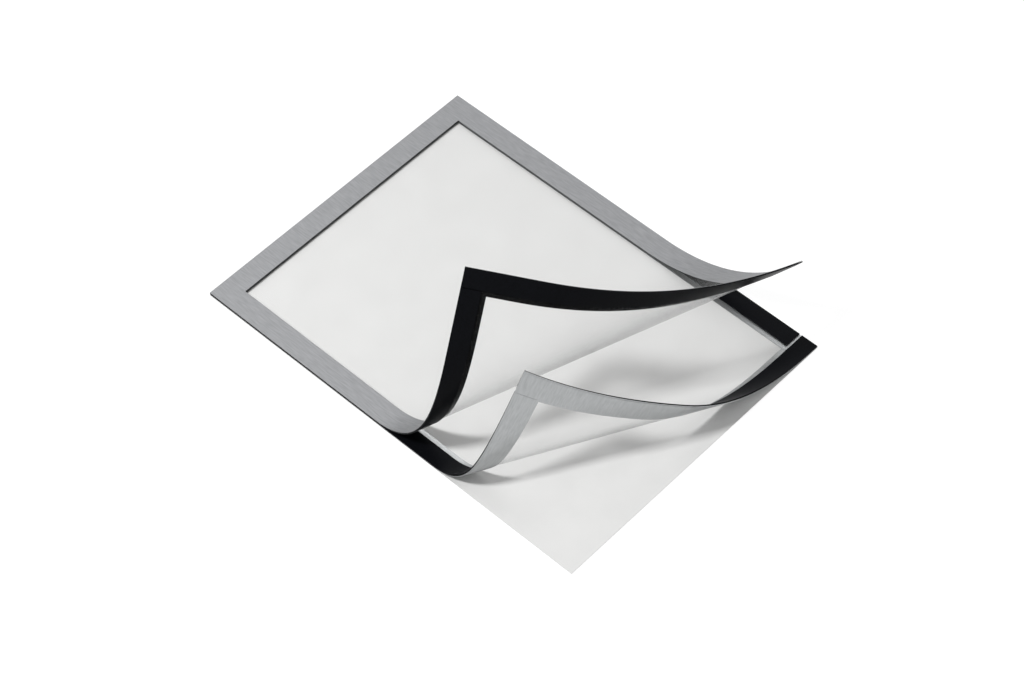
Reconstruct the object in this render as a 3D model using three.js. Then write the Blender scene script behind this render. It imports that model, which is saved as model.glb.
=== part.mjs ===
// A magnetic document pocket for an A4 sheet, lying on its back with two of its layers lifted.
//
// Three layers of the same outline lie on each other. The lowest is a plain backing sheet, which
// covers the adhesive until the pocket is stuck up. On it lies the rear panel: a clear film with a
// printed border, adhesive strips under the border and magnet strips on it. The front panel is a
// clear film with a silver border on top and magnet strips below, bonded to the rear panel along
// one short edge. The free end of the front panel is lifted and curled back, and one corner of the
// rear panel is lifted under it.
//
// Frame, in millimetres: the origin is the middle of the backing sheet's underside, +X runs along
// the long side from the bonded edge to the free edge, and +Z points up from the sheets.

import * as THREE from "three";

// The document that the pocket holds, and the strips around it.
const DOCUMENT_LENGTH = 297;
const DOCUMENT_WIDTH = 210;
const MAGNET_WIDTH = 13;
const BORDER_OVERLAP = 3.5; // how far the printed border reaches inwards past the magnets
const ADHESIVE_INSET = 0.8; // from the outer edge to the adhesive
const ADHESIVE_WIDTH = 14.5;
const HINGE_TAPE_WIDTH = 11;
const JOINT_GAP = 0.6; // between a strip's end and the side of the strip that it meets
const REAR_CORNER_GAP = 1.2; // the same, where the rear magnets meet at the free edge

// Thickness of each layer.
const BACKING_THICKNESS = 0.3;
const ADHESIVE_THICKNESS = 0.15;
const BORDER_THICKNESS = 0.15;
const FILM_THICKNESS = 0.25;
const MAGNET_THICKNESS = 0.7;
const HINGE_TAPE_THICKNESS = 0.1;
const BOND_LINE = 0.05; // left between two layers that are bonded or lie on each other

// The front panel leaves the plane along a straight line that crosses the near long edge
// FRONT_LIFT from the free edge. It follows a cone there and is flat again beyond it. A cone's
// radius and arc are measured at the near long edge, and its tip lies this far outside that edge.
const FRONT_LIFT = 169.3;
const FRONT_LEAN_DEG = 9.34;
const FRONT_TIP = 116;
const FRONT_RADIUS = 36;
const FRONT_ARC = 80.5;

// The rear panel's corner follows two cones, one after the other.
const REAR_LIFT = 118.4;
const REAR_LEAN_DEG = 26.4;
const REAR_FOLD_TIP = 271;
const REAR_FOLD_RADIUS = 23.3;
const REAR_FOLD_ARC = 34.8;
const REAR_CURL_TIP = 46;
const REAR_CURL_RADIUS = 43;
const REAR_CURL_ARC = 30;

const FACET_DEG = 6; // the largest turn between two neighbouring flat facets of a bend

// Sizes that follow from those above.
const HALF_LENGTH = DOCUMENT_LENGTH / 2 + MAGNET_WIDTH;
const HALF_WIDTH = DOCUMENT_WIDTH / 2 + MAGNET_WIDTH;
const BORDER_WIDTH = MAGNET_WIDTH + BORDER_OVERLAP;

// Heights of the underside of each layer where the pocket lies flat.
const ADHESIVE_Z = BACKING_THICKNESS + BOND_LINE;
const REAR_BORDER_Z = ADHESIVE_Z + ADHESIVE_THICKNESS + BOND_LINE;
const REAR_FILM_Z = REAR_BORDER_Z + BORDER_THICKNESS + BOND_LINE;
const REAR_MAGNET_Z = REAR_FILM_Z + FILM_THICKNESS + BOND_LINE;
const HINGE_TAPE_Z = REAR_MAGNET_Z + MAGNET_THICKNESS + BOND_LINE;
const FRONT_MAGNET_Z = HINGE_TAPE_Z + HINGE_TAPE_THICKNESS + BOND_LINE;
const FRONT_FILM_Z = FRONT_MAGNET_Z + MAGNET_THICKNESS + BOND_LINE;
const FRONT_BORDER_Z = FRONT_FILM_Z + FILM_THICKNESS + BOND_LINE;

const silverPrint = new THREE.MeshStandardMaterial({ color: 0xa6a7aa, roughness: 0.45, metalness: 0.3 });
const greyPrint = new THREE.MeshStandardMaterial({ color: 0xaeb0b1, roughness: 0.5, metalness: 0.1 });
const magnetRubber = new THREE.MeshStandardMaterial({ color: 0x1e1c20, roughness: 0.7, metalness: 0 });
const clearFilm = new THREE.MeshStandardMaterial({
  color: 0xeef0f0,
  roughness: 0.15,
  metalness: 0,
  transparent: true,
  opacity: 0.25,
});
const greyAdhesive = new THREE.MeshStandardMaterial({ color: 0x98989a, roughness: 0.55, metalness: 0 });
const backingPaper = new THREE.MeshStandardMaterial({ color: 0xe4e4e3, roughness: 0.6, metalness: 0 });

const mitreOf = (one, other) =>
  one
    .clone()
    .add(other)
    .divideScalar(1 + one.dot(other));

// A flat panel that is bent along straight lines, its rulings. Between two rulings of one cone
// the bent surface is a flat facet. All layers of a panel share its rulings, so that they stay
// parallel: a layer is set off from the reference surface by its height above it.
class Bend {
  constructor(referenceZ, lift, leanDeg, cones) {
    this.referenceZ = referenceZ;
    this.rulings = [];
    this.facets = [];
    const lean = THREE.MathUtils.degToRad(leanDeg);
    let along = new THREE.Vector2(Math.sin(lean), Math.cos(lean));
    let foot = new THREE.Vector2(HALF_LENGTH - lift, -HALF_WIDTH);
    let foot3 = new THREE.Vector3(foot.x, foot.y, referenceZ);
    const along3 = new THREE.Vector3(along.x, along.y, 0);
    const normal3 = new THREE.Vector3(0, 0, 1);
    this.rulings.push({ foot, along, foot3, along3: along3.clone() });
    this.normals = [normal3.clone()];
    for (const { tip, radius, arc } of cones) {
      const steps = Math.ceil(THREE.MathUtils.radToDeg(arc / radius) / FACET_DEG);
      const sweep = arc / tip / steps;
      const apex = foot.clone().addScaledVector(along, -tip);
      const apex3 = foot3.clone().addScaledVector(along3, -tip);
      const spin = Math.hypot(1, tip / radius);
      for (let step = 0; step < steps; step++) {
        const axis = along3.clone().multiplyScalar(tip / radius).add(normal3).normalize();
        along3.applyAxisAngle(axis, -sweep * spin);
        normal3.applyAxisAngle(axis, -sweep * spin);
        along = along.clone().rotateAround(new THREE.Vector2(), -sweep);
        const reach = (-HALF_WIDTH - apex.y) / along.y;
        foot = apex.clone().addScaledVector(along, reach);
        foot3 = apex3.clone().addScaledVector(along3, reach);
        const last = this.rulings.at(-1);
        this.normals.push(along3.clone().cross(last.along3).normalize());
        this.facets.push({ apex, apex3 });
        this.rulings.push({ foot, along, foot3, along3: along3.clone() });
      }
    }
    this.normals.push(normal3.clone());
    this.across3 = normal3.clone().cross(along3).negate();
    this.rulings.forEach((ruling, i) => {
      ruling.mitre = mitreOf(this.normals[i], this.normals[i + 1]);
    });
  }

  // How far a point of the flat panel lies past a ruling.
  past(ruling, point) {
    const { foot, along } = ruling;
    return (point.x - foot.x) * along.y - (point.y - foot.y) * along.x;
  }

  // Where a point of the flat panel comes to lie, at a height z of the flat stack.
  place(point, z) {
    const height = z - this.referenceZ;
    const onIt = this.rulings.find((ruling) => Math.abs(this.past(ruling, point)) < 1e-6);
    if (onIt) {
      const distance = point.clone().sub(onIt.foot).dot(onIt.along);
      return onIt.foot3.clone().addScaledVector(onIt.along3, distance).addScaledVector(onIt.mitre, height);
    }
    const passed = this.rulings.filter((ruling) => this.past(ruling, point) > 0).length;
    if (passed === 0) return new THREE.Vector3(point.x, point.y, z);
    const before = this.rulings[passed - 1];
    if (passed === this.rulings.length) {
      const offset = point.clone().sub(before.foot);
      return before.foot3
        .clone()
        .addScaledVector(before.along3, offset.dot(before.along))
        .addScaledVector(this.across3, this.past(before, point))
        .addScaledVector(this.normals[passed], height);
    }
    const after = this.rulings[passed];
    const { apex, apex3 } = this.facets[passed - 1];
    const offset = point.clone().sub(apex);
    const span = before.along.cross(after.along);
    const a = offset.cross(after.along) / span;
    const b = before.along.cross(offset) / span;
    const rise = height / (a + b);
    return apex3
      .clone()
      .addScaledVector(before.along3, a)
      .addScaledVector(after.along3, b)
      .addScaledVector(before.mitre, a * rise)
      .addScaledVector(after.mitre, b * rise);
  }

  // Cuts a convex outline of the flat panel along every ruling that crosses it.
  cut(outline) {
    let pieces = [outline];
    for (const ruling of this.rulings) {
      const halves = pieces.flatMap((piece) => [this.half(piece, ruling, -1), this.half(piece, ruling, 1)]);
      pieces = halves.filter((piece) => piece.length > 0);
    }
    return pieces;
  }

  // The part of a convex outline on one side of a ruling, or nothing if it only touches it.
  half(outline, ruling, side) {
    const kept = [];
    outline.forEach((point, i) => {
      const next = outline[(i + 1) % outline.length];
      const here = this.past(ruling, point) * side;
      const there = this.past(ruling, next) * side;
      if (here > -1e-6) kept.push(point);
      if ((here > 1e-6 && there < -1e-6) || (here < -1e-6 && there > 1e-6))
        kept.push(point.clone().lerp(next, here / (here - there)));
    });
    const touchesOnly = kept.every((point) => Math.abs(this.past(ruling, point)) < 1e-6);
    return touchesOnly ? [] : kept;
  }
}

const keyOf = (point) => point.x.toFixed(4) + " " + point.y.toFixed(4);

// A closed layer of a bent panel. The outlines are convex, run anticlockwise and share whole
// edges, and the layer fills them from one height of the flat stack to another.
function bentLayer(bend, outlines, underside, thickness) {
  const positions = [];
  const face = (...corners) => {
    for (let i = 1; i < corners.length - 1; i++)
      for (const corner of [corners[0], corners[i], corners[i + 1]]) positions.push(...corner.toArray());
  };
  const pieces = outlines.flatMap((outline) => bend.cut(outline));
  const edges = new Set();
  const eachEdge = (visit) => {
    for (const piece of pieces)
      piece.forEach((point, i) => visit(point, piece[(i + 1) % piece.length]));
  };
  eachEdge((from, to) => edges.add(keyOf(from) + " " + keyOf(to)));
  const top = underside + thickness;
  for (const piece of pieces) {
    face(...piece.map((point) => bend.place(point, top)));
    face(...piece.map((point) => bend.place(point, underside)).reverse());
  }
  eachEdge((from, to) => {
    if (edges.has(keyOf(to) + " " + keyOf(from))) return;
    face(
      bend.place(from, underside),
      bend.place(to, underside),
      bend.place(to, top),
      bend.place(from, top),
    );
  });
  const geometry = new THREE.BufferGeometry();
  geometry.setAttribute("position", new THREE.Float32BufferAttribute(positions, 3));
  geometry.computeVertexNormals();
  return geometry;
}

// The corners of a rectangle, anticlockwise from the hinge end of the near side.
const rectangle = (x0, y0, x1, y1) => [
  new THREE.Vector2(x0, y0),
  new THREE.Vector2(x1, y0),
  new THREE.Vector2(x1, y1),
  new THREE.Vector2(x0, y1),
];

const panelOutline = () => [rectangle(-HALF_LENGTH, -HALF_WIDTH, HALF_LENGTH, HALF_WIDTH)];

// The printed border as four mitred outlines around the window.
function borderOutlines() {
  const outer = panelOutline()[0];
  const inner = rectangle(
    -HALF_LENGTH + BORDER_WIDTH,
    -HALF_WIDTH + BORDER_WIDTH,
    HALF_LENGTH - BORDER_WIDTH,
    HALF_WIDTH - BORDER_WIDTH,
  );
  return outer.map((corner, i) => {
    const next = (i + 1) % outer.length;
    return [corner, outer[next], inner[next], inner[i]];
  });
}

// Four strips laid end to side around a panel. The strips along the short edges run through and
// the long ones butt against them.
function stripOutlines(inset, width, gapAtFree) {
  const x = HALF_LENGTH - inset;
  const y = HALF_WIDTH - inset;
  const buttFrom = -x + width + JOINT_GAP;
  const buttTo = x - width - gapAtFree;
  return {
    hinge: rectangle(-x, -y, -x + width, y),
    free: rectangle(x - width, -y, x, y),
    near: rectangle(buttFrom, -y, buttTo, -y + width),
    far: rectangle(buttFrom, y - width, buttTo, y),
  };
}

const frontBend = new Bend(FRONT_FILM_Z + FILM_THICKNESS / 2, FRONT_LIFT, FRONT_LEAN_DEG, [
  { tip: FRONT_TIP, radius: FRONT_RADIUS, arc: FRONT_ARC },
]);

const rearBend = new Bend(REAR_FILM_Z + FILM_THICKNESS / 2, REAR_LIFT, REAR_LEAN_DEG, [
  { tip: REAR_FOLD_TIP, radius: REAR_FOLD_RADIUS, arc: REAR_FOLD_ARC },
  { tip: REAR_CURL_TIP, radius: REAR_CURL_RADIUS, arc: REAR_CURL_ARC },
]);

const pocket = new THREE.Group();

function add(name, geometry, material) {
  const mesh = new THREE.Mesh(geometry, material);
  mesh.name = name;
  pocket.add(mesh);
  return mesh;
}

// A flat rectangle of sheet or tape, from one height up.
function flatSheet(name, x0, x1, width, underside, thickness, material) {
  const sheet = add(name, new THREE.BoxGeometry(x1 - x0, width, thickness), material);
  sheet.position.set((x0 + x1) / 2, 0, underside + thickness / 2);
}

// Four strips of one layer, one node for each side.
function addStrips(prefix, bend, outlines, underside, thickness, material) {
  for (const [side, outline] of Object.entries(outlines))
    add(prefix + "_" + side, bentLayer(bend, [outline], underside, thickness), material);
}

// The backing sheet carries everything and lies flat.
flatSheet("backing_sheet", -HALF_LENGTH, HALF_LENGTH, 2 * HALF_WIDTH, 0, BACKING_THICKNESS, backingPaper);

// The rear panel, from the adhesive up.
const adhesive = stripOutlines(ADHESIVE_INSET, ADHESIVE_WIDTH, JOINT_GAP);
addStrips("adhesive_strip", rearBend, adhesive, ADHESIVE_Z, ADHESIVE_THICKNESS, greyAdhesive);
add("rear_border", bentLayer(rearBend, borderOutlines(), REAR_BORDER_Z, BORDER_THICKNESS), greyPrint);
add("rear_window_film", bentLayer(rearBend, panelOutline(), REAR_FILM_Z, FILM_THICKNESS), clearFilm);
const rearMagnets = stripOutlines(0, MAGNET_WIDTH, REAR_CORNER_GAP);
addStrips("rear_magnet", rearBend, rearMagnets, REAR_MAGNET_Z, MAGNET_THICKNESS, magnetRubber);

// The tape that bonds the front panel to the rear panel, between their magnets.
flatSheet(
  "hinge_tape",
  -HALF_LENGTH + (MAGNET_WIDTH - HINGE_TAPE_WIDTH) / 2,
  -HALF_LENGTH + (MAGNET_WIDTH + HINGE_TAPE_WIDTH) / 2,
  2 * HALF_WIDTH - (MAGNET_WIDTH - HINGE_TAPE_WIDTH),
  HINGE_TAPE_Z,
  HINGE_TAPE_THICKNESS,
  greyAdhesive,
);

// The front panel, from its magnets up.
const frontMagnets = stripOutlines(0, MAGNET_WIDTH, JOINT_GAP);
addStrips("front_magnet", frontBend, frontMagnets, FRONT_MAGNET_Z, MAGNET_THICKNESS, magnetRubber);
add("front_window_film", bentLayer(frontBend, panelOutline(), FRONT_FILM_Z, FILM_THICKNESS), clearFilm);
add("front_border", bentLayer(frontBend, borderOutlines(), FRONT_BORDER_Z, BORDER_THICKNESS), silverPrint);

export default pocket;
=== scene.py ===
# %% [markdown]
# A magnetic document pocket lies on a pale surface. Its clear front panel is lifted and curled back
# from the free end, and one corner of the clear rear panel is lifted under it. The CAD model gives
# the size and place of every layer. This script makes the fine surfaces of the layers, their
# finishes, the light and the camera.
#
# The first cell loads the CAD model as a fixed frame, with a helper that reads the box of any part.
# The pieces made here must stay inside it.

import math

import bpy
import numpy as np
from mathutils import Matrix, Vector


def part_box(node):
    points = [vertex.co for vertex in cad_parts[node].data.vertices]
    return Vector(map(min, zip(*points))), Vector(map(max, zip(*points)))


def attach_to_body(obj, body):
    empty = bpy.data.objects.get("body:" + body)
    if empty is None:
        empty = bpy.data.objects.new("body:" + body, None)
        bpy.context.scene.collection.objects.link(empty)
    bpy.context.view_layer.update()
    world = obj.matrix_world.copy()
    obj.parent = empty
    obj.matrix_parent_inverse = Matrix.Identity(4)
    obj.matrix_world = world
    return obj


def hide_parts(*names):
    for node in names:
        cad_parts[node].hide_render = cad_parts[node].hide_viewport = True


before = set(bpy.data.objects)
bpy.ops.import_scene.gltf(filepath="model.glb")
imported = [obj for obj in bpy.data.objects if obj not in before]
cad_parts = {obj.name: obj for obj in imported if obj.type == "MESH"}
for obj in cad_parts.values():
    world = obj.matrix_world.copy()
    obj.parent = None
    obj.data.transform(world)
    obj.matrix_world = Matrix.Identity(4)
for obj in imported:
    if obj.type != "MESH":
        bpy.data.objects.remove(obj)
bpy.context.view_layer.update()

# %% [markdown]
# The camera comes first, so that every later step can be judged from the photograph's own angle. A
# camera could be placed by eye, but four corners of the pocket lie flat and their real places are
# known. Azimuth, elevation, distance and a small roll were worked out from those, and the lens from
# how fast the sides run together.

# %% Camera
VIEW_AZIMUTH = math.radians(44.52)
VIEW_ELEVATION = math.radians(52.61)
VIEW_ROLL = math.radians(1.73)
VIEW_DISTANCE = 1.9141
VIEW_TARGET = Vector((0.0118, -0.0117, 0.0))
LENS_MM = 103.43

back = Vector((
    math.sin(VIEW_AZIMUTH) * math.cos(VIEW_ELEVATION),
    -math.cos(VIEW_AZIMUTH) * math.cos(VIEW_ELEVATION),
    math.sin(VIEW_ELEVATION),
))
level_right = Vector((0, 0, 1)).cross(back).normalized()
level_up = back.cross(level_right)
right = level_right * math.cos(VIEW_ROLL) - level_up * math.sin(VIEW_ROLL)
up = back.cross(right)

camera_data = bpy.data.cameras.new("camera")
camera_data.lens = LENS_MM
camera = bpy.data.objects.new("camera", camera_data)
bpy.context.scene.collection.objects.link(camera)
turn = Matrix((right, up, back)).transposed().to_4x4()
camera.matrix_world = Matrix.Translation(VIEW_TARGET + back * VIEW_DISTANCE) @ turn
bpy.context.scene.camera = camera
print("Camera at", [round(x, 4) for x in camera.matrix_world.translation])

# %% [markdown]
# Real sizes are easiest to read in millimetres, and Blender works in metres. The outline, the widths
# of the strips and the heights of the layers could be typed in again, but they are measured on CAD
# nodes that lie flat, so they can't drift from it. Only what no flat node shows is written here: the
# thickness of film and border, the bond line and how far the border reaches past the magnets.

# %% Sizes of the pocket
MM = 0.001
BORDER_OVERLAP = 3.5 * MM
FILM_THICKNESS = 0.25 * MM
BORDER_THICKNESS = 0.15 * MM
BOND_LINE = 0.05 * MM

half_length, half_width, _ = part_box("backing_sheet")[1]
magnet_low, magnet_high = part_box("front_magnet_hinge")
magnet_width = magnet_high.x - magnet_low.x
border_width = magnet_width + BORDER_OVERLAP
adhesive_low, adhesive_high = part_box("adhesive_strip_hinge")
adhesive_inset = adhesive_low.x + half_length
adhesive_width = adhesive_high.x - adhesive_low.x


def flat_heights(node):
    """Underside and top of a node that lies flat."""
    low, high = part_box(node)
    return low.z, high.z


rear_film_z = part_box("rear_window_film")[0].z
front_film_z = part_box("front_window_film")[0].z
front_border_z = front_film_z + FILM_THICKNESS + BOND_LINE
HEIGHTS = {
    "adhesive": flat_heights("adhesive_strip_hinge"),
    "rear_border": (rear_film_z - BOND_LINE - BORDER_THICKNESS, rear_film_z - BOND_LINE),
    "rear_film": (rear_film_z, rear_film_z + FILM_THICKNESS),
    "rear_magnet": flat_heights("rear_magnet_hinge"),
    "front_magnet": flat_heights("front_magnet_hinge"),
    "front_film": (front_film_z, front_film_z + FILM_THICKNESS),
    "front_border": (front_border_z, front_border_z + BORDER_THICKNESS),
}
print(f"Outline {2 * half_length / MM:.0f} by {2 * half_width / MM:.0f} mm")
for layer, (low, high) in HEIGHTS.items():
    print(f"{layer}: {low / MM:.2f} to {high / MM:.2f} mm")

# %% [markdown]
# Two helpers serve every node tree below. One turns a colour as a designer writes it, an sRGB hex
# value, into the linear numbers that Blender mixes. The other adds a node with its settings, and
# fills each input with a value or with a link from another node.

# %% Helpers for colours and nodes
MATH = "ShaderNodeMath"
VECTOR_MATH = "ShaderNodeVectorMath"


def colour(hex_value):
    """Linear RGBA of an sRGB hex colour such as A6A7AA."""
    channels = [int(hex_value[i : i + 2], 16) / 255 for i in (0, 2, 4)]
    linear = [c / 12.92 if c <= 0.04045 else ((c + 0.055) / 1.055) ** 2.4 for c in channels]
    return (*linear, 1.0)


def add(tree, kind, inputs=None, **settings):
    """Adds a node. An input takes a value, a socket, or the first output of another node."""
    node = tree.nodes.new(kind)
    for name, value in settings.items():
        setattr(node, name, value)
    for key, value in (inputs or {}).items():
        if isinstance(value, bpy.types.Node):
            value = value.outputs[0]
        if isinstance(value, bpy.types.NodeSocket):
            tree.links.new(value, node.inputs[key])
        else:
            node.inputs[key].default_value = value
    return node


print("A mid grey, A6A7AA, is", [round(channel, 3) for channel in colour("A6A7AA")])

# %% [markdown]
# A lifted film can't stretch, so it bends along straight lines, which fan out from the tip of a
# cone. A lattice or a sculpted sheet would stretch it. The exact bend takes two turns for each
# point. The first turns the point within the flat sheet, round the cone's tip, back to the line
# where the bend starts. The second turns it round the cone's axis, by the angle that keeps its
# distance along the sheet. Past the end of the bend both angles stay the same, so the rest of the
# sheet comes along unbent. Geometry Nodes apply that rule to every layer of a panel alike.
#
# The sheet's own flat coordinates are kept in an attribute named flat. The bend reads them to tell
# where a point lies along the sheet, and the printed grain follows them afterwards.

# %% Node group that bends along one cone
GEOMETRY = "NodeSocketGeometry"
FLOAT = "NodeSocketFloat"
CONE_INPUTS = {
    "Geometry": GEOMETRY,
    "Foot": "NodeSocketVector",
    "Lean": FLOAT,
    "Tip": FLOAT,
    "Radius": FLOAT,
    "Arc": FLOAT,
}


def new_geometry_tree(name, inputs):
    """A Geometry Nodes tree with named inputs and one geometry output, and its input sockets."""
    tree = bpy.data.node_groups.new(name, "GeometryNodeTree")
    for label, kind in inputs.items():
        tree.interface.new_socket(name=label, in_out="INPUT", socket_type=kind)
    tree.interface.new_socket(name="Geometry", in_out="OUTPUT", socket_type=GEOMETRY)
    return tree, add(tree, "NodeGroupInput").outputs


def make_cone_bend():
    """Foot is where the first line crosses the near edge. Lean is that line's angle from +Y."""
    tree, given = new_geometry_tree("cone_bend", CONE_INPUTS)

    # The tip lies on the first line, beyond the near edge.
    sine = add(tree, MATH, {0: given["Lean"]}, operation="SINE")
    cosine = add(tree, MATH, {0: given["Lean"]}, operation="COSINE")
    first_line = add(tree, "ShaderNodeCombineXYZ", {0: sine, 1: cosine})
    to_tip = add(tree, VECTOR_MATH, {0: first_line, "Scale": given["Tip"]}, operation="SCALE")
    tip = add(tree, VECTOR_MATH, {0: given["Foot"], 1: to_tip}, operation="SUBTRACT")

    # Fan is how far a point lies beyond the first line, as an angle seen from the tip.
    named = {"Name": "flat"}
    flat = add(tree, "GeometryNodeInputNamedAttribute", named, data_type="FLOAT_VECTOR")
    from_tip = add(tree, VECTOR_MATH, {0: flat, 1: tip}, operation="SUBTRACT")
    parts = add(tree, "ShaderNodeSeparateXYZ", {0: from_tip}).outputs
    direction = add(tree, MATH, {0: parts[0], 1: parts[1]}, operation="ARCTAN2")
    beyond = add(tree, MATH, {0: direction, 1: given["Lean"]}, operation="SUBTRACT")
    sweep = add(tree, MATH, {0: given["Arc"], 1: given["Tip"]}, operation="DIVIDE")
    at_least_none = add(tree, MATH, {0: beyond, 1: 0.0}, operation="MAXIMUM")
    fan = add(tree, MATH, {0: at_least_none, 1: sweep}, operation="MINIMUM")

    # The cone's axis rises from the first line as steeply as the radius over the tip's distance.
    slope = add(tree, MATH, {0: given["Tip"], 1: given["Radius"]}, operation="DIVIDE")
    squared = add(tree, MATH, {0: slope, 1: slope, 2: 1.0}, operation="MULTIPLY_ADD")
    spin = add(tree, MATH, {0: squared}, operation="SQRT")
    leaning = add(tree, VECTOR_MATH, {0: first_line, "Scale": slope}, operation="SCALE")
    axis = add(tree, VECTOR_MATH, {0: leaning, 1: (0, 0, 1)}, operation="ADD")
    turned = add(tree, MATH, {0: fan, 1: spin}, operation="MULTIPLY")
    curl = add(tree, MATH, {0: turned, 1: -1.0}, operation="MULTIPLY")

    here = add(tree, "GeometryNodeInputPosition")
    gathered = add(
        tree,
        "ShaderNodeVectorRotate",
        {"Vector": here, "Center": tip, "Axis": (0, 0, 1), "Angle": fan},
        rotation_type="AXIS_ANGLE",
    )
    rolled = add(
        tree,
        "ShaderNodeVectorRotate",
        {"Vector": gathered, "Center": tip, "Axis": axis, "Angle": curl},
        rotation_type="AXIS_ANGLE",
    )
    bent = {"Geometry": given["Geometry"], "Position": rolled}
    moved = add(tree, "GeometryNodeSetPosition", bent)
    add(tree, "NodeGroupOutput", {0: moved})
    return tree


cone_bend = make_cone_bend()
print("cone_bend has", len(cone_bend.nodes), "nodes")

# %% [markdown]
# The front panel follows one cone, and the rear panel's corner follows two. One wide cone alone
# couldn't give that corner both its sharp foot and its gentle curl. The second bend is applied
# before the first, while its lines still lie in the flat sheet. The sizes are those of the CAD
# model: where the bend crosses the near long edge, measured from the free edge, and the radius, arc
# and distance of the tip, all at that edge.

# %% The two lifted panels
FRONT_LIFT = 169.3 * MM
FRONT_LEAN = math.radians(9.34)
FRONT_CONES = [{"Tip": 116 * MM, "Radius": 36 * MM, "Arc": 80.5 * MM}]
REAR_LIFT = 118.4 * MM
REAR_LEAN = math.radians(26.4)
REAR_CONES = [
    {"Tip": 271 * MM, "Radius": 23.3 * MM, "Arc": 34.8 * MM},
    {"Tip": 46 * MM, "Radius": 43 * MM, "Arc": 30 * MM},
]
PANEL_INPUTS = {"Geometry": GEOMETRY, "Finish": "NodeSocketMaterial"}


def bend_steps(lift, lean, cones, reference_z):
    """The inputs of each cone, with its foot on the near edge, in the order they start in."""
    steps = []
    foot_x = half_length - lift
    for cone in cones:
        foot = (foot_x, -half_width, reference_z)
        steps.append({"Foot": foot, "Lean": lean, **cone})
        tip_x = foot_x - cone["Tip"] * math.sin(lean)
        tip_depth = cone["Tip"] * math.cos(lean)
        lean += cone["Arc"] / cone["Tip"]
        foot_x = tip_x + tip_depth * math.tan(lean)
    return steps


def make_panel_tree(name, steps):
    """A tree that bends one layer of a panel and gives it its finish."""
    tree, given = new_geometry_tree(name, PANEL_INPUTS)
    here = add(tree, "GeometryNodeInputPosition")
    shape = add(
        tree,
        "GeometryNodeStoreNamedAttribute",
        {"Geometry": given["Geometry"], "Name": "flat", "Value": here},
        data_type="FLOAT_VECTOR",
        domain="POINT",
    )
    for step in reversed(steps):
        shape = add(tree, "GeometryNodeGroup", {"Geometry": shape, **step}, node_tree=cone_bend)
    real = add(tree, "GeometryNodeRealizeInstances", {0: shape})
    finished = {"Geometry": real, "Material": given["Finish"]}
    add(tree, "NodeGroupOutput", {0: add(tree, "GeometryNodeSetMaterial", finished)})
    return tree


front_steps = bend_steps(FRONT_LIFT, FRONT_LEAN, FRONT_CONES, sum(HEIGHTS["front_film"]) / 2)
rear_steps = bend_steps(REAR_LIFT, REAR_LEAN, REAR_CONES, sum(HEIGHTS["rear_film"]) / 2)
front_tree = make_panel_tree("front_panel", front_steps)
rear_tree = make_panel_tree("rear_panel", rear_steps)
for step in [*front_steps, *rear_steps]:
    foot_mm = [round(x / MM, 1) for x in step["Foot"]]
    print("Bend from", foot_mm, "lean", round(math.degrees(step["Lean"]), 1))

# %% [markdown]
# Every layer starts as a flat slab: a grid of small faces on top and underneath, with walls round
# the outline and round an open window. A plain box couldn't bend, and Subdivision would not put
# lines where they are needed. This grid is fine enough for the tightest bend to look smooth, and
# its lines fall on the edges of the border, so that those stay sharp.
#
# The windows of the two films are one surface only. So thin a film looks the same with one, and
# Cycles lets light through only a few clear surfaces before it stops, while a sight line crosses
# both panels and its light comes back through them.

# %% Flat slabs
GRID_STEP = 2.0 * MM


def grid_lines(*stops):
    """Evenly spaced lines between each pair of stops, the stops included."""
    lines = [stops[0]]
    for low, high in zip(stops, stops[1:]):
        count = max(1, round((high - low) / GRID_STEP))
        lines.extend(low + (high - low) * (i + 1) / count for i in range(count))
    return np.array(lines)


def slab_mesh(name, x_lines, y_lines, heights, window="filled"):
    """A slab over a grid. Its window is filled, or one surface only, or open."""
    middle_x = np.abs(x_lines[:-1] + x_lines[1:]) / 2
    middle_y = np.abs(y_lines[:-1] + y_lines[1:]) / 2
    in_window = np.outer(middle_x < half_length - border_width, middle_y < half_width - border_width)
    filled = np.zeros((len(middle_x) + 2, len(middle_y) + 2), bool)
    filled[1:-1, 1:-1] = True if window != "open" else ~in_window
    rows = len(y_lines)

    def corner(i, j, level):
        return (i * rows + j) * 2 + level

    faces = []
    for i, j in np.argwhere(filled) - 1:
        ring = [(i, j), (i + 1, j), (i + 1, j + 1), (i, j + 1)]
        faces.append([corner(*p, 1) for p in ring])
        if window == "filled" or not in_window[i, j]:
            faces.append([corner(*p, 0) for p in reversed(ring)])
        beside = [(i, j - 1), (i + 1, j), (i, j + 1), (i - 1, j)]
        for k, (ni, nj) in enumerate(beside):
            if not filled[ni + 1, nj + 1]:
                a, b = ring[k], ring[(k + 1) % 4]
                faces.append([corner(*a, 0), corner(*b, 0), corner(*b, 1), corner(*a, 1)])
    used, faces = np.unique(np.array(faces), return_inverse=True)
    faces = faces.reshape(-1, 4)
    columns, levels = used // 2, used % 2
    z = np.array(heights)[levels]
    points = np.stack([x_lines[columns // rows], y_lines[columns % rows], z], 1)
    mesh = bpy.data.meshes.new(name)
    mesh.from_pydata(points.tolist(), [], faces.tolist())
    mesh.update()
    return mesh


def rectangle_slab(name, low, high, heights):
    """A slab over a plain rectangle."""
    return slab_mesh(name, grid_lines(low[0], high[0]), grid_lines(low[1], high[1]), heights)


def panel_slab(layer, window):
    """A slab over the whole outline, with grid lines along the border's inner edge."""
    inner_x = half_length - border_width
    inner_y = half_width - border_width
    x_lines = grid_lines(-half_length, -inner_x, inner_x, half_length)
    y_lines = grid_lines(-half_width, -inner_y, inner_y, half_width)
    return slab_mesh(f"{layer}_flat", x_lines, y_lines, HEIGHTS[layer], window)


print("Grid lines are about", GRID_STEP / MM, "mm apart")

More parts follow.
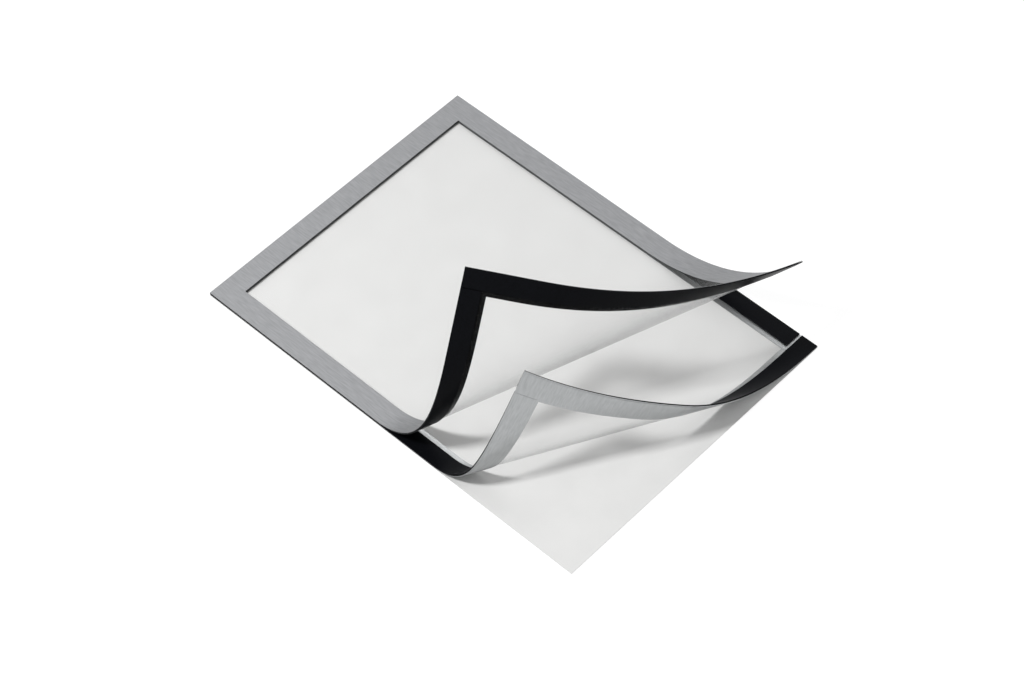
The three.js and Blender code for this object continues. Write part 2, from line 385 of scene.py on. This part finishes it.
# %% [markdown]
# Now the finishes. Each one starts from what the real material is and how its surface was made. A
# printed, extruded or coated surface is never one flat tone, so its colour wanders between two close
# tones with a noise pattern, and the same noise gives a faint bump. The pattern follows the flat
# coordinates of the sheet, so it bends with the panel, or plain Object coordinates where a piece
# lies flat. A grain finer than a pixel of the picture wouldn't show, so it is drawn coarser.

# %% Helpers for finishes
def new_finish(name):
    """An empty material and its tree."""
    material = bpy.data.materials.new(name)
    material.use_nodes = True
    material.node_tree.nodes.clear()
    return material, material.node_tree


def patterned_finish(name, grain, tones, shader, detail=2.0, bump=None, on_sheet=True):
    """A material with a grain of a real length and width, two tones and a bump's depth and strength."""
    material, tree = new_finish(name)
    if on_sheet:
        place = add(tree, "ShaderNodeAttribute", attribute_name="flat").outputs["Vector"]
    else:
        place = add(tree, "ShaderNodeTexCoord").outputs["Object"]
    length, width = grain
    stretch = (1 / length, 1 / width, 1 / width)
    scaled = add(tree, "ShaderNodeMapping", {"Vector": place, "Scale": stretch})
    noise = add(tree, "ShaderNodeTexNoise", {"Vector": scaled, "Scale": 1.0, "Detail": detail})
    spread = add(tree, "ShaderNodeMapRange", {"Value": noise, "From Min": 0.3, "From Max": 0.7})
    dark, light = tones
    mix = {"Factor": spread, "A": colour(dark), "B": colour(light)}
    values = {"Base Color": add(tree, "ShaderNodeMix", mix, data_type="RGBA").outputs["Result"]}
    if bump:
        depth, strength = bump
        relief = {"Height": noise, "Distance": depth, "Strength": strength}
        values["Normal"] = add(tree, "ShaderNodeBump", relief)
    surface = add(tree, "ShaderNodeBsdfPrincipled", {**values, **shader})
    add(tree, "ShaderNodeOutputMaterial", {"Surface": surface})
    print("Finish", name, "has", len(tree.nodes), "nodes")
    return material


# %% [markdown]
# The silver border is a screen-printed PVC foil. Metal flakes in the ink give it a satin sheen that
# changes with the light, so it is partly metallic and rough enough for the sheen to stay soft on the
# curl. A plain grey would look dead there. The grain is fine streaks along the pocket's long side,
# 9 mm long and 0.8 mm wide, coarser than the real ones. The back is printed black and very matte, to
# hide the magnets.

# %% Silver print and its black back
PRINT_GRAIN = (9.0 * MM, 0.8 * MM)
PRINT_RELIEF = 0.02 * MM

silver_print = patterned_finish(
    "silver_screen_print",
    PRINT_GRAIN,
    ("828385", "929395"),
    {"Metallic": 0.65, "Roughness": 0.52},
    detail=3.0,
    bump=(PRINT_RELIEF, 0.5),
)
black_back = patterned_finish(
    "black_print_back",
    PRINT_GRAIN,
    ("050506", "0A0A0B"),
    {"Roughness": 0.6, "Specular IOR Level": 0.05},
)

# %% [markdown]
# Magnetic rubber strip is a dense mix of ferrite powder and rubber, extruded and cut. It is nearly
# black and matte, with a fine grain, drawn 0.8 mm coarse. The strips in the photograph stay nearly
# black even where they face the light, so the specular level is far below that of plain plastic.

# %% Magnetic rubber
RUBBER_GRAIN = (0.8 * MM, 0.8 * MM)
RUBBER_RELIEF = 0.04 * MM

magnet_rubber = patterned_finish(
    "extruded_magnetic_rubber",
    RUBBER_GRAIN,
    ("060709", "0F1014"),
    {"Roughness": 0.38, "Specular IOR Level": 0.05},
    detail=3.0,
    bump=(RUBBER_RELIEF, 0.4),
)

# %% [markdown]
# The rear border is printed grey, and the strips behind it are a thin acrylic tape. Both show a
# satin sheen in the photograph that runs along the curl, as metal does, so both are mostly metallic.
# The tape is a little darker, and its grain is the slight unevenness of its glue.

# %% Grey print and adhesive tape
TAPE_GRAIN = (6.0 * MM, 1.0 * MM)

grey_print = patterned_finish(
    "grey_screen_print",
    PRINT_GRAIN,
    ("A8AAAB", "B6B8B9"),
    {"Metallic": 0.85, "Roughness": 0.36},
    bump=(PRINT_RELIEF, 0.4),
)
adhesive_tape = patterned_finish(
    "acrylic_adhesive_tape",
    TAPE_GRAIN,
    ("A6A8A9", "B4B6B7"),
    {"Metallic": 0.85, "Roughness": 0.38},
    bump=(PRINT_RELIEF, 0.4),
)

# %% [markdown]
# Release paper is a smooth coated sheet. Its colour is an even light grey with a very faint cloud,
# as paper pulp gives, and its coating has a low sheen. It lies flat, so the cloud can follow plain
# Object coordinates.

# %% Backing paper
PAPER_CLOUD = (25 * MM, 25 * MM)
PAPER_RELIEF = 0.05 * MM

backing_paper = patterned_finish(
    "coated_release_paper",
    PAPER_CLOUD,
    ("DFDFDE", "E3E3E2"),
    {"Roughness": 0.5, "Specular IOR Level": 0.35},
    detail=5.0,
    bump=(PAPER_RELIEF, 0.2),
    on_sheet=False,
)

# %% [markdown]
# The windows are clear PVC film. Light passes it almost unchanged where it is met squarely. Where a
# curled film is met at a flat angle, the way through it is long and its surface mirrors more, so it
# looks greyer there. A glass shader would need two surfaces and would block the light in shadows.
# So a Transparent shader carries the light that passes, in sight lines and in shadows alike, and a
# glossy Principled shader gives the rest. Layer Weight gives the angle that shares them out.

# %% Clear film
FILM_HAZE = 0.01
FILM_EDGE_HAZE = 0.78
FILM_EDGE_POWER = 2.8


def make_clear_film():
    """Clear where it is met squarely, greyer and glossier towards its turned edges."""
    material, tree = new_finish("clear_pvc_film")
    facing = add(tree, "ShaderNodeLayerWeight", {"Blend": 0.5}).outputs["Facing"]
    steep = add(tree, MATH, {0: facing, 1: FILM_EDGE_POWER}, operation="POWER")
    limits = {"Value": steep, "To Min": FILM_HAZE, "To Max": FILM_EDGE_HAZE}
    share = add(tree, "ShaderNodeMapRange", limits)
    clear = add(tree, "ShaderNodeBsdfTransparent", {"Color": (1, 1, 1, 1)})
    gloss = {"Base Color": colour("A4A6A6"), "Roughness": 0.16, "Specular IOR Level": 0.7}
    haze = add(tree, "ShaderNodeBsdfPrincipled", gloss)
    mixed = add(tree, "ShaderNodeMixShader", {0: share, 1: clear, 2: haze})
    add(tree, "ShaderNodeOutputMaterial", {"Surface": mixed})
    return material


clear_film = make_clear_film()
print("Finish", clear_film.name, "lets", 1 - FILM_HAZE, "of the light through where it is met squarely")

# %% [markdown]
# Each layer of a panel is now a flat slab, bent by its panel's tree. The result is turned into a
# plain mesh before it rides on the CAD body, so that no live modifier is left on it. Faces are
# smooth, and an edge stays sharp where two faces meet at more than 30 degrees, which is every rim.

# %% Bend the layers of both panels
SHARP_ANGLE = math.radians(30)


def bent_piece(name, mesh, tree, finish):
    """An object whose mesh is the slab, bent and finished."""
    piece = bpy.data.objects.new(name, mesh)
    bpy.context.scene.collection.objects.link(piece)
    modifier = piece.modifiers.new("bend", "NODES")
    modifier.node_group = tree
    socket = next(item for item in tree.interface.items_tree if item.name == "Finish")
    modifier[socket.identifier] = finish
    evaluated = piece.evaluated_get(bpy.context.evaluated_depsgraph_get())
    bent = bpy.data.meshes.new_from_object(evaluated)
    piece.modifiers.clear()
    piece.data = bent
    bpy.data.meshes.remove(mesh)
    bent.name = name
    bent.shade_smooth()
    bent.set_sharp_from_angle(angle=SHARP_ANGLE)
    return piece


def attach(piece, slot, *nodes):
    """The piece moves with the pocket, and the CAD nodes it takes the place of are hidden."""
    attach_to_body(piece, "root")
    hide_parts(*nodes)
    print(piece.name, "has", len(piece.data.polygons), "faces")


rear_border_flat = panel_slab("rear_border", "open")
rear_border = bent_piece("printed_rear_border", rear_border_flat, rear_tree, grey_print)
attach(rear_border, "grey_print", "rear_border")

rear_film_flat = panel_slab("rear_film", "one surface")
rear_film = bent_piece("clear_rear_window", rear_film_flat, rear_tree, clear_film)
attach(rear_film, "clear_film", "rear_window_film")

front_film_flat = panel_slab("front_film", "one surface")
front_film = bent_piece("clear_front_window", front_film_flat, front_tree, clear_film)
attach(front_film, "clear_film", "front_window_film")

# %% [markdown]
# The front border is one foil with two faces: silver above and black below. Two foils back to back
# could show them, but a second material on one mesh can't come apart. The faces of the slab's
# underside get it. After the bend such a face can point anywhere, so they are found before it, on
# the flat slab, where they point down. The bend keeps the order of the faces.

# %% Front border with two faces
front_border_flat = panel_slab("front_border", "open")
underside = [face.normal.z < -0.5 for face in front_border_flat.polygons]
front_border = bent_piece("printed_front_border", front_border_flat, front_tree, silver_print)
front_border.data.materials.append(black_back)
front_border.data.polygons.foreach_set("material_index", [int(under) for under in underside])
attach(front_border, "silver_print", "front_border")

# %% [markdown]
# Strips run around both panels. The two along the short edges run through, and the long ones butt
# against them with a small gap, because strips are cut square. The adhesive strips do the same
# behind the rear border. One loop makes the four strips of each layer. The gap of the rear magnets
# at the free edge is the widest, because the photograph shows it as a pale line.

# %% Magnet and adhesive strips
JOINT_GAP = 0.6 * MM
TAPE_JOINT_GAP = 0.2 * MM
REAR_CORNER_GAP = 2.0 * MM


def strip_corners(inset, width, gap_at_hinge, gap_at_free):
    """Low and high corners of the four strips around a panel."""
    x = half_length - inset
    y = half_width - inset
    butt_from = -x + width + gap_at_hinge
    butt_to = x - width - gap_at_free
    return {
        "hinge": ((-x, -y), (-x + width, y)),
        "free": ((x - width, -y), (x, y)),
        "near": ((butt_from, -y), (butt_to, -y + width)),
        "far": ((butt_from, y - width), (butt_to, y)),
    }


def add_strips(prefix, corners, layer, tree, finish, slot, node_prefix):
    """One piece for each of the four strips of a layer."""
    for side, (low, high) in corners.items():
        flat = rectangle_slab(f"{prefix}_{side}_flat", low, high, HEIGHTS[layer])
        piece = bent_piece(f"{prefix}_{side}", flat, tree, finish)
        attach(piece, slot, f"{node_prefix}_{side}")


add_strips(
    "adhesive_tape",
    strip_corners(adhesive_inset, adhesive_width, TAPE_JOINT_GAP, TAPE_JOINT_GAP),
    "adhesive",
    rear_tree,
    adhesive_tape,
    "adhesive_tape",
    "adhesive_strip",
)
add_strips(
    "rear_magnetic_strip",
    strip_corners(0, magnet_width, JOINT_GAP, REAR_CORNER_GAP),
    "rear_magnet",
    rear_tree,
    magnet_rubber,
    "magnet_rubber",
    "rear_magnet",
)
add_strips(
    "front_magnetic_strip",
    strip_corners(0, magnet_width, JOINT_GAP, JOINT_GAP),
    "front_magnet",
    front_tree,
    magnet_rubber,
    "magnet_rubber",
    "front_magnet",
)

# %% [markdown]
# The backing sheet and the hinge tape lie flat and have the right shape in the CAD model, so those
# nodes stay and only get their finishes. The hinge tape has no flat coordinates, so its grain is one
# even tone, but it is hidden between the panels.

# %% Finishes of the flat CAD nodes
for node, finish in {"backing_sheet": backing_paper, "hinge_tape": adhesive_tape}.items():
    cad_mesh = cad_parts[node].data
    cad_mesh.materials.clear()
    cad_mesh.materials.append(finish)
    print(node, "keeps its CAD mesh")

# %% [markdown]
# The stage is a plain pale floor, which a product photograph shows as pure white. More light would
# whiten it but would burn out the object too. So the camera sees the floor part lit and part
# glowing, which keeps the object's shadow and lifts the rest to white. Glossy and transmitted rays
# see it so as well, because the object mirrors the floor. All other rays meet a plain light grey.

# %% Floor
FLOOR_SIZE = 8.0
FLOOR_DROP = 0.2 * MM
FLOOR_GLOW_SHARE = 0.6
FLOOR_GLOW_STRENGTH = 1.5


def sees_background(tree):
    """One for rays from the camera, a mirroring or a clear surface, and zero for all others."""
    rays = add(tree, "ShaderNodeLightPath").outputs
    indirect = {0: rays["Is Glossy Ray"], 1: rays["Is Transmission Ray"]}
    mirrored = add(tree, MATH, indirect, operation="MAXIMUM")
    return add(tree, MATH, {0: rays["Is Camera Ray"], 1: mirrored}, operation="MAXIMUM")


def make_floor():
    """A large square just under the pocket, not attached to the pocket's body."""
    material, tree = new_finish("white_floor")
    lit = add(tree, "ShaderNodeBsdfDiffuse", {"Color": colour("B8B8B8")})
    light = {"Color": (1, 1, 1, 1), "Strength": FLOOR_GLOW_STRENGTH}
    glow = add(tree, "ShaderNodeEmission", light)
    shares = {0: sees_background(tree), 1: FLOOR_GLOW_SHARE}
    share = add(tree, MATH, shares, operation="MULTIPLY")
    mixed = add(tree, "ShaderNodeMixShader", {0: share, 1: lit, 2: glow})
    add(tree, "ShaderNodeOutputMaterial", {"Surface": mixed})
    reach = FLOOR_SIZE / 2
    corners = [(-reach, -reach, 0), (reach, -reach, 0), (reach, reach, 0), (-reach, reach, 0)]
    mesh = bpy.data.meshes.new("floor")
    mesh.from_pydata(corners, [], [(0, 1, 2, 3)])
    mesh.materials.append(material)
    floor = bpy.data.objects.new("floor", mesh)
    floor.location.z = -FLOOR_DROP
    bpy.context.scene.collection.objects.link(floor)


make_floor()
print("Floor", FLOOR_SIZE, "m wide")

# %% [markdown]
# The photograph's shadows fall to the right, crisp near the curls and soft further out. One sun
# would make them hard throughout, and the world alone would make none. So the key lamp is a small
# square, high on the left and a little in front. A panel behind on the left gives the silver its
# sheen, a wide ceiling lights the sheets evenly, and a fill on the right lifts the shadows. The
# world is dim, but white to the rays that see the background, so that silver and film mirror a
# white studio.

# %% Light
LAMPS = {
    "key_lamp": {"direction": (-0.32, -0.61, 1.0), "distance": 2.0, "size": 0.28, "watts": 27.5},
    "left_panel": {"direction": (-0.62, 0.2, 0.76), "distance": 1.5, "size": 1.0, "watts": 3.0},
    "ceiling": {"direction": (0, 0, 1), "distance": 1.7, "size": 2.4, "watts": 5.6},
    "right_fill": {"direction": (0.55, 0.65, 0.6), "distance": 1.8, "size": 1.2, "watts": 8.0},
}
WORLD_STRENGTH = 0.15


def add_soft_lamp(name, direction, distance, size, watts):
    """A square lamp that faces the middle of the pocket."""
    lamp = bpy.data.lights.new(name, "AREA")
    lamp.shape = "SQUARE"
    lamp.size = size
    lamp.energy = watts
    outwards = Vector(direction).normalized()
    facing = outwards.to_track_quat("Z", "Y").to_matrix().to_4x4()
    holder = bpy.data.objects.new(name, lamp)
    holder.matrix_world = Matrix.Translation(outwards * distance) @ facing
    bpy.context.scene.collection.objects.link(holder)
    print(name, "at", [round(x, 2) for x in outwards * distance], "with", watts, "W")


for name, lamp in LAMPS.items():
    add_soft_lamp(name, **lamp)

world = bpy.data.worlds.new("studio")
bpy.context.scene.world = world
world.use_nodes = True
studio = world.node_tree
studio.nodes.clear()
levels = {0: sees_background(studio), 1: WORLD_STRENGTH}
strength = add(studio, MATH, levels, operation="MAXIMUM")
surround = add(studio, "ShaderNodeBackground", {"Color": (1, 1, 1, 1), "Strength": strength})
add(studio, "ShaderNodeOutputWorld", {"Surface": surround})

bpy.context.scene.view_settings.view_transform = "Standard"
